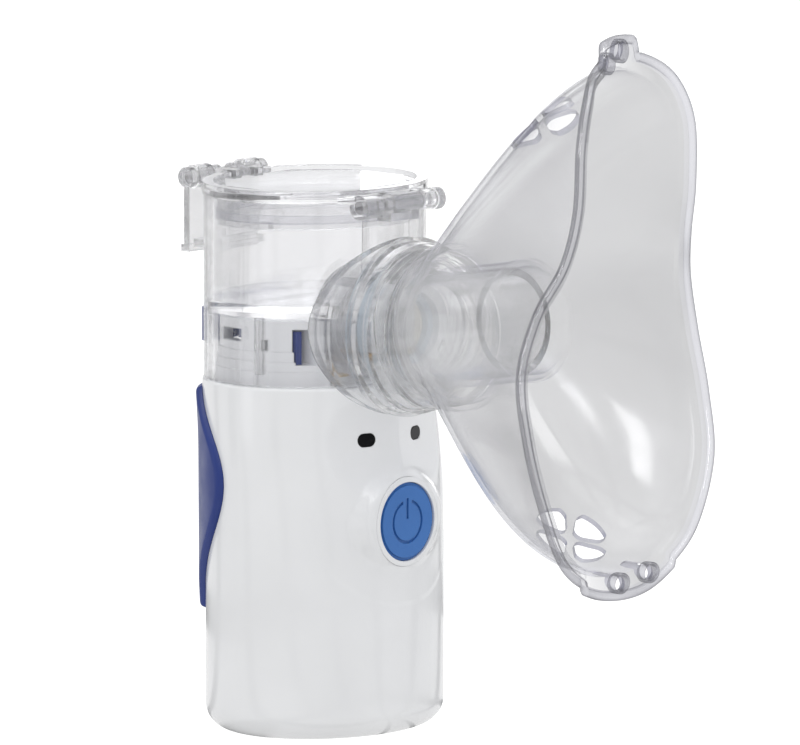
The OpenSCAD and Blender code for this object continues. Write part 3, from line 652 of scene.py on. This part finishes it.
def build_grip():
    """A sheet wrapped round the back, whose side edges swing forward at mid-height."""
    outer, inner = [], []
    radius = GRIP_EDGE_RADIUS
    for u in np.linspace(0, 1, GRIP_ROWS):
        z = GRIP_BOTTOM + GRIP_HEIGHT * u
        edge_y = 17 - 13 * np.sin(np.pi * u ** 1.35) ** 1.2
        centre_y, half_width, half_depth = section(z)
        start = np.arcsin(np.clip((edge_y - centre_y) / (half_depth + 0.7), -1, 1))
        v = np.linspace(0, 1, GRIP_COLUMNS)
        span = np.pi - 2 * start
        angles = start + span * v
        # distance from the outline, for the rounded edge
        from_side = np.minimum(v, 1 - v) * span * GRIP_MEAN_RADIUS
        distance = np.minimum(from_side, min(u, 1 - u) * GRIP_HEIGHT)
        arc = np.sqrt(np.maximum(radius * radius - (radius - distance) ** 2, 0))
        rise = np.where(distance < radius, arc, radius) / radius * GRIP_RISE + GRIP_EDGE_LIFT
        for rows, lift in ((outer, rise), (inner, GRIP_INNER_LIFT)):
            rows.append(np.stack([(half_width + lift) * np.cos(angles),
                                  centre_y + (half_depth + lift) * np.sin(angles),
                                  np.full(GRIP_COLUMNS, z)], 1))

    under = GRIP_ROWS * GRIP_COLUMNS  # number of the first inner vertex
    last_row, last_column = GRIP_ROWS - 1, GRIP_COLUMNS - 1
    faces = []
    for j in range(last_row):
        for i in range(last_column):
            a = j * GRIP_COLUMNS + i
            b = a + GRIP_COLUMNS
            faces.append((a, a + 1, b + 1, b))
            faces.append((under + a, under + b, under + b + 1, under + a + 1))
    border = list(range(last_column))
    border += [j * GRIP_COLUMNS + last_column for j in range(last_row)]
    border += [last_row * GRIP_COLUMNS + i for i in range(last_column, 0, -1)]
    border += [j * GRIP_COLUMNS for j in range(last_row, 0, -1)]
    for a, b in zip(border, border[1:] + border[:1]):
        faces.append((a, under + a, under + b, b))
    grip = mesh_object("grip_skin", np.vstack(outer + inner), faces, ["grip_blue"], angle=50)
    shade(grip, 50)
    register(grip, "main_unit", "grip_blue", "back_grip")


# ------------------------------------------------------------------ mask outline

# the neck of the mask is a tube about an axis that points forward (-y) and slightly up
NECK_TILT = math.radians(9.5)
NECK_ORIGIN = np.array([0, -30.0, 84.0])
NECK_AXIS = np.array([0, -math.cos(NECK_TILT), math.sin(NECK_TILT)])
NECK_UP = np.array([0, math.sin(NECK_TILT), math.cos(NECK_TILT)])
ROLL = math.radians(4.8)  # the whole mask is turned by this about the neck axis

# x, y, z of the rim's +x half, from the nose (top) to the chin; the other half mirrors it
HALF_RIM = [
    (0, -83.5, 145.3), (8.5, -84.6, 143), (14, -86.6, 138), (17.6, -87.3, 129),
    (18.3, -86.2, 116), (19.6, -83.2, 105.5), (23.6, -79, 96), (27.3, -77, 84),
    (28.1, -78.4, 71), (26.6, -80.2, 57.5), (20.5, -79.8, 44), (11, -79.2, 37), (0, -80, 35),
]
CHIN = len(HALF_RIM) - 1
RIM_COUNT = 2 * CHIN
# places round the rim, counted in rim points from the nose, closer together at nose and chin
RIM_PLACES = [v % RIM_COUNT for v in np.concatenate([
    np.arange(-1.5, 1.5, 0.04), np.arange(1.5, 9.4, 0.11),
    np.arange(9.4, 14.6, 0.05), np.arange(14.6, 22.45, 0.11)])]


def rim_point(k):
    i = k % RIM_COUNT
    x, y, z = HALF_RIM[min(i, RIM_COUNT - i)]
    return np.array([x if i <= CHIN else -x, y, z], float)


def rim_at(v):
    """A point on the smooth (Catmull-Rom) curve through the rim points."""
    i = math.floor(v)
    f = v - i
    a, b, c, d = (rim_point(i + k) for k in (-1, 0, 1, 2))
    return 0.5 * ((2 * b) + (c - a) * f + (2 * a - 5 * b + 4 * c - d) * f * f
                  + (3 * b - a - 3 * c + d) * f ** 3)


def rim_inset(v, distance):
    """The rim moved inwards in x and z."""
    along = rim_at(v + 0.02) - rim_at(v - 0.02)
    inwards = np.array([along[2], 0, -along[0]])
    return rim_at(v) + inwards * distance / math.hypot(along[0], along[2])


def neck_point(v, radius, distance):
    around = 2 * math.pi * v / RIM_COUNT
    angle = around - math.radians(10) * math.sin(around)
    spoke = math.sin(angle) * np.array([1.0, 0, 0]) + math.cos(angle) * NECK_UP
    return NECK_ORIGIN + NECK_AXIS * distance + radius * spoke


def dome_point(v, t, radius, inset, lift):
    """From the end of the neck (t = 0) to the rim (t = 1), bulging outwards in between."""
    start, end = neck_point(v, radius, 8), rim_inset(v, inset)
    spread = 1 - (1 - t) ** (1.72 - 0.32 * math.cos(2 * math.pi * v / RIM_COUNT))
    return np.array([start[0] + (end[0] - start[0]) * spread,
                     start[1] + (end[1] + lift - start[1]) * t,
                     start[2] + (end[2] - start[2]) * spread])


def ease(x):
    x = min(1.0, max(0.0, x))
    return x * x * (3 - 2 * x)


def tab_reach(v):
    """How far the flange goes past the plain rim: a lobe at the nose, a low one at the chin."""
    x = abs(rim_at(v)[0])
    if v < 3 or v > RIM_COUNT - 3:
        return 3.1 * ease((5.5 - x) / 1.7)
    if CHIN - 3 < v < CHIN + 3:
        return 1.1 * ease((14.2 - x) / 1.1)
    return 0.0


def roll(piece):
    """Turns the piece's vertices by ROLL about the neck axis."""
    mesh = piece.data
    points = np.array([vertex.co for vertex in mesh.vertices]) / MM - NECK_ORIGIN
    c, s = math.cos(ROLL), math.sin(ROLL)
    turned = points * c + np.cross(NECK_AXIS, points) * s
    turned = turned + np.outer(points @ NECK_AXIS, NECK_AXIS) * (1 - c) + NECK_ORIGIN
    mesh.vertices.foreach_set("co", (turned * MM).astype(np.float32).ravel())
    mesh.update()


# ------------------------------------------------------------------ mask

NECK_RADIUS = 16.95
SHELL = 1.3  # thickness
FLANGE_INSET = 2.1
BEAD_WIDTH = 0.95  # half sizes of the bead round the rim
BEAD_DEPTH = 1.05
BEAD_RINGS = 13
DOME_STEPS = [j / 44 for j in range(45)]

# centre and turn about x of the two clusters of four petal holes, below and above the neck
PETAL_CLUSTERS = (((1.6, -62.9, 45.0), 33), ((0, -60, 131), -45))

# x, y where the cut starts, z, radius in x, radius in z
STRAP_HOLES = (
    (0.4, -76.0, 145.2, 1.35, 1.9),
    (-3.7, -76.0, 143.3, 1.25, 1.7),
    (-3.5, -73.0, 37.6, 2.0, 1.6),
    (5.6, -73.0, 38.0, 2.0, 1.6),
)
COLLAR_WIDTH = 0.55
COLLAR_DEPTH = 1.9
COLLAR_POINTS = 56


def petal_outline():
    arc = [(7.8 * math.cos(a), 7.8 * math.sin(a)) for a in np.radians(np.linspace(27, -27, 9))]
    points = [(1.9, 0.9), (5.2, 3.7)] + arc + [(5.2, -3.7), (1.9, -0.9)]
    return rounded(points, [0.8, 1.6] + [0.9] * len(arc) + [1.6, 0.8])


def wall_cutter(outline, z0, z1, place):
    """A prism cutter whose cut faces take the mask's third material, clear_wall."""
    cutter = prism_cutter(outline, z0, z1, place)
    for _ in range(3):
        cutter.data.materials.append(MATERIALS["clear_wall"])
    cutter.data.polygons.foreach_set("material_index", [2] * len(cutter.data.polygons))
    return cutter


def mask_rings():
    """Closed profile rings: out along the outer skin, round the bead, back along the inner."""
    reaches = [tab_reach(v) for v in RIM_PLACES]

    def neck(radius, distance):
        return [neck_point(v, radius, distance) for v in RIM_PLACES]

    def dome(t, radius, inset, lift):
        return [dome_point(v, t, radius, inset, lift) for v in RIM_PLACES]

    def flange(inset, lift, outwards=0.0):
        return [rim_inset(v, inset - reach - outwards) + (0, lift, 0)
                for v, reach in zip(RIM_PLACES, reaches)]

    lip = 3.5
    inner_radius = NECK_RADIUS - SHELL
    rings = [neck(NECK_RADIUS - 0.25, 4.5), neck(NECK_RADIUS, 4.85), neck(NECK_RADIUS, 6.5)]
    rings += [dome(t, NECK_RADIUS, lip, SHELL + 1.6) for t in DOME_STEPS]
    bead_start = len(rings)
    rings.append(flange(FLANGE_INSET, SHELL + 0.45))
    for k in range(BEAD_RINGS):
        a = math.radians(72 - 21 * k)
        rings.append(flange(BEAD_WIDTH, SHELL / 2 + BEAD_DEPTH * math.sin(a),
                            outwards=BEAD_WIDTH * math.cos(a)))
    rings.append(flange(FLANGE_INSET, 0.45))
    rings += [dome(t, inner_radius, lip + 0.6, 1.5) for t in DOME_STEPS[::-1]]
    rings += [neck(inner_radius, 6.5), neck(inner_radius, 4.7)]
    return rings, bead_start


def build_mask():
    rings, bead_start = mask_rings()
    count = len(RIM_PLACES)
    mask = mesh_object("mask_skin", np.vstack(rings), ring_faces(len(rings), count, closed=True),
                       ["clear_soft", "clear_bead", "clear_wall"], angle=60)
    # the bead has the denser finish
    polygons = mask.data.polygons
    ring_of = np.array([polygon.vertices[0] // count for polygon in polygons])
    in_bead = (ring_of >= bead_start) & (ring_of <= bead_start + BEAD_RINGS)
    polygons.foreach_set("material_index", in_bead.astype(np.int32))

    cutters = []
    for centre, tilt in PETAL_CLUSTERS:
        for k in range(4):
            place = Matrix.Translation(centre) @ turn("X", tilt) @ turn("Z", 90 * k)
            cutters.append(wall_cutter(petal_outline(), -6, 6, place))
    for x, y, z, radius_x, radius_z in STRAP_HOLES:
        oval = [(radius_x * math.cos(a), radius_z * math.sin(a)) for a in circle_angles(48)]
        cutters.append(wall_cutter(oval, 0, 12, Matrix.Translation((x, y, z)) @ turn("X", 90)))
    cut_away(mask, cutters, angle=60)
    roll(mask)
    register(mask, "mask", "clear_soft", "mask_shell")
    return mask


def build_collars():
    """Low collars round the strap holes."""
    # profile: distance out from the hole, distance forward
    profile = rounded([(0.0, 0.0), (0.0, COLLAR_DEPTH), (COLLAR_WIDTH, COLLAR_DEPTH),
                       (COLLAR_WIDTH, 0.0)], 0.22, 4)
    angles = circle_angles(COLLAR_POINTS)
    for k, (x, _, z, radius_x, radius_z) in enumerate(STRAP_HOLES):
        back_y = -82.2 if z > 90 else -78.2  # nose and chin
        verts = np.vstack([np.stack([x + (radius_x + out) * np.cos(angles),
                                     np.full(COLLAR_POINTS, back_y - forward),
                                     z + (radius_z + out) * np.sin(angles)], 1)
                           for out, forward in profile])
        faces = ring_faces(len(profile), COLLAR_POINTS, closed=True)
        collar = mesh_object("mask_tab_%d" % k, verts, faces, ["clear_bead"], angle=50)
        roll(collar)
        shade(collar, 50)
        register(collar, "mask", "clear_soft")


build_housing()
build_bezel()
build_grip()
mask_skin = build_mask()
build_collars()

# ------------------------------------------------------------------ camera directions (metres)

AZIMUTH = math.radians(-47)
ELEVATION = math.radians(10)
CAMERA_DISTANCE = 2.2
VIEW_WIDTH = 0.164  # width of the picture at the origin
VIEW_SHIFT = (0.015375, 0.0716475)  # how far right of and above the origin the camera looks

TO_CAMERA = Vector((math.sin(AZIMUTH) * math.cos(ELEVATION),
                    -math.cos(AZIMUTH) * math.cos(ELEVATION), math.sin(ELEVATION)))
RIGHT = Vector((math.cos(AZIMUTH), math.sin(AZIMUTH), 0))
UPWARD = TO_CAMERA.cross(RIGHT)


def from_camera(right, up, toward):
    """A place given along the camera's own right, up and towards-camera directions."""
    return RIGHT * right + UPWARD * up + TO_CAMERA * toward


# ------------------------------------------------------------------ floor and world


def plane(name, width, depth, location=(0, 0, 0)):
    mesh = bpy.data.meshes.new(name)
    corners = rectangle(-width / 2, width / 2, -depth / 2, depth / 2)
    mesh.from_pydata([(x, y, 0) for x, y in corners], [], [(0, 1, 2, 3)])
    piece = bpy.data.objects.new(name, mesh)
    piece.location = location
    scene.collection.objects.link(piece)
    return piece


def studio(tree, vector):
    """How bright the studio is in a direction, as reflections and refractions see it: a white
    tent with dark bars round the sides and above, and an open bright wall behind the object."""
    direction = add_node(tree, "VectorMath", {0: vector}, operation="NORMALIZE").outputs[0]
    parts = separate(tree, direction)
    azimuth = calculate(tree, "ARCTAN2", parts["X"], parts["Y"])
    elevation = calculate(tree, "ARCSINE", parts["Z"])

    def stripes(angle, frequency, phase, edge):
        wave = calculate(tree, "SINE", calculate(tree, "MULTIPLY_ADD", angle, frequency, phase))
        return smooth_step(tree, wave, from_range=edge)

    grid = calculate(tree, "MULTIPLY",
                     stripes(azimuth, frequency=8.0, phase=0.6, edge=(-0.93, -0.74)),
                     stripes(elevation, frequency=9.0, phase=2.4, edge=(-0.95, -0.78)))
    behind = add_node(tree, "VectorMath", {0: direction, 1: tuple(-TO_CAMERA)},
                      operation="DOT_PRODUCT").outputs[1]
    open_wall = smooth_step(tree, behind, from_range=(0.90, 0.965))
    broad = smooth_step(tree, behind, from_range=(-0.9, 0.75), to_range=(0.62, 0.98))
    top = smooth_step(tree, parts["Z"], from_range=(0.5, 0.9), to_range=(0.0, 0.6))
    tent = calculate(tree, "MULTIPLY", calculate(tree, "ADD", broad, top),
                     calculate(tree, "MULTIPLY_ADD", grid, 0.98, 0.02))
    return calculate(tree, "MAXIMUM", tent, open_wall)


def stage_strength(tree, direction, seen, diffuse):
    """Plain light for camera rays (seen) and diffuse rays; the studio for all the others."""
    rays = add_node(tree, "LightPath").outputs
    camera = rays["Is Camera Ray"]
    is_plain = calculate(tree, "MAXIMUM", camera, rays["Is Diffuse Ray"])
    plain = calculate(tree, "MULTIPLY_ADD", camera, seen - diffuse, diffuse)
    inputs = {0: is_plain, 2: studio(tree, direction), 3: plain}
    return add_node(tree, "Mix", inputs).outputs[0]


def build_floor():
    floor = plane("floor", 60, 60, (0, 0, -0.00002))
    material, tree = new_material("floor")
    drift = patches(tree, scaled_coordinates(tree), scale=3.0)
    color = mix_color(tree, drift, (0.93, 0.93, 0.935), (0.925, 0.925, 0.93))
    diffuse = add_node(tree, "BsdfDiffuse", {"Color": color}).outputs[0]
    # directions are taken from the middle of the object
    inputs = {0: coordinate(tree), 1: (0.0, -0.03, 0.085)}
    direction = add_node(tree, "VectorMath", inputs, operation="SUBTRACT").outputs[0]
    strength = stage_strength(tree, direction, seen=1.30, diffuse=0.80)
    glow = add_node(tree, "Emission", {"Color": (1, 1, 1), "Strength": strength}).outputs[0]
    set_surface(tree, mix_shader(tree, 0.80, diffuse, glow))
    floor.data.materials.append(material)


def build_world():
    world = bpy.data.worlds.new("World")
    scene.world = world
    world.use_nodes = True
    tree = world.node_tree
    tree.nodes.clear()
    strength = stage_strength(tree, coordinate(tree, "Generated"), seen=1.0, diffuse=0.84)
    background = add_node(tree, "Background", {"Color": (0.98, 0.985, 1.0), "Strength": strength})
    add_node(tree, "OutputWorld", {"Surface": background.outputs[0]})


# ------------------------------------------------------------------ camera, lights and cards


def build_camera():
    data = bpy.data.cameras.new("cam")
    data.sensor_width = 36.0
    data.lens = data.sensor_width * CAMERA_DISTANCE / VIEW_WIDTH
    data.clip_start = 0.05
    data.clip_end = 100
    camera = bpy.data.objects.new("cam", data)
    scene.collection.objects.link(camera)
    place = TO_CAMERA * CAMERA_DISTANCE
    look = -place + RIGHT * VIEW_SHIFT[0] + UPWARD * VIEW_SHIFT[1]
    z_axis = -look.normalized()
    x_axis = UPWARD.cross(z_axis).normalized()
    y_axis = z_axis.cross(x_axis)
    rows = [(x_axis[k], y_axis[k], z_axis[k], place[k]) for k in range(3)]
    camera.matrix_world = Matrix((*rows, (0, 0, 0, 1)))
    scene.camera = camera


def area_light(name, location, target, size, power, color=(1, 1, 1), height=None):
    """A square light, or a rectangular one if its height is given."""
    data = bpy.data.lights.new(name, "AREA")
    data.energy = power
    data.color = color
    data.size = size
    if height:
        data.shape = "RECTANGLE"
        data.size_y = height
    light = bpy.data.objects.new(name, data)
    light.location = location
    aim = Vector(target) - Vector(location)
    light.rotation_euler = aim.to_track_quat("-Z", "Y").to_euler()
    scene.collection.objects.link(light)
    light.visible_camera = False
    return light


def build_lights():
    area_light("key", from_camera(0.55, 0.75, 0.9), target=(0, -0.02, 0.08), size=0.45, power=1.9)
    area_light("fill_left", from_camera(-0.9, 0.35, 0.5), target=(0, 0, 0.06), size=0.35,
               power=0.9, color=(0.97, 0.98, 1.0), height=0.9)
    area_light("top", (0, 0, 1.1), target=(0, 0, 0), size=0.6, power=1.6)
    area_light("back", from_camera(0.3, 0.5, -1.0), target=(0, -0.05, 0.09), size=0.6, power=1.5)
    # two tall strips that only the mask's gloss sees; they draw its long soft highlights
    receivers = bpy.data.collections.new("strip_receivers")
    receivers.objects.link(mask_skin)
    for name, place, power in (("strip_a", (-0.40, 0.02, 1.0), 3.4),
                               ("strip_b", (-0.80, 0.20, 0.75), 3.0)):
        strip = area_light(name, from_camera(*place), target=(0, -0.05, 0.09), size=0.20,
                           power=power, height=0.5)
        strip.visible_diffuse = False
        strip.light_linking.receiver_collection = receivers


def build_cards():
    """Dark cards that only reflections and refractions see; they outline the clear parts."""
    for name, right in (("card_left", -0.42), ("card_right", 0.46)):
        card = plane(name, 0.10, 0.8)
        facing = from_camera(-right, 0.0, 0.0).to_track_quat("Z", "Y").to_matrix().to_4x4()
        card.matrix_world = Matrix.Translation(from_camera(right, 0.05, 0.05)) @ facing
        material, tree = new_material(name)
        dark = add_node(tree, "BsdfDiffuse", {"Color": (0.03, 0.03, 0.035)})
        set_surface(tree, dark.outputs[0])
        card.data.materials.append(material)
        card.visible_camera = False
        card.visible_diffuse = False
        card.visible_shadow = False


build_floor()
build_world()
build_camera()
build_lights()
build_cards()

# ------------------------------------------------------------------ render settings

scene.view_settings.view_transform = "Standard"
scene.cycles.max_bounces = 20
scene.cycles.transmission_bounces = 18
scene.cycles.transparent_max_bounces = 32
scene.cycles.glossy_bounces = 6
scene.cycles.diffuse_bounces = 4
scene.cycles.sample_clamp_indirect = 4.0
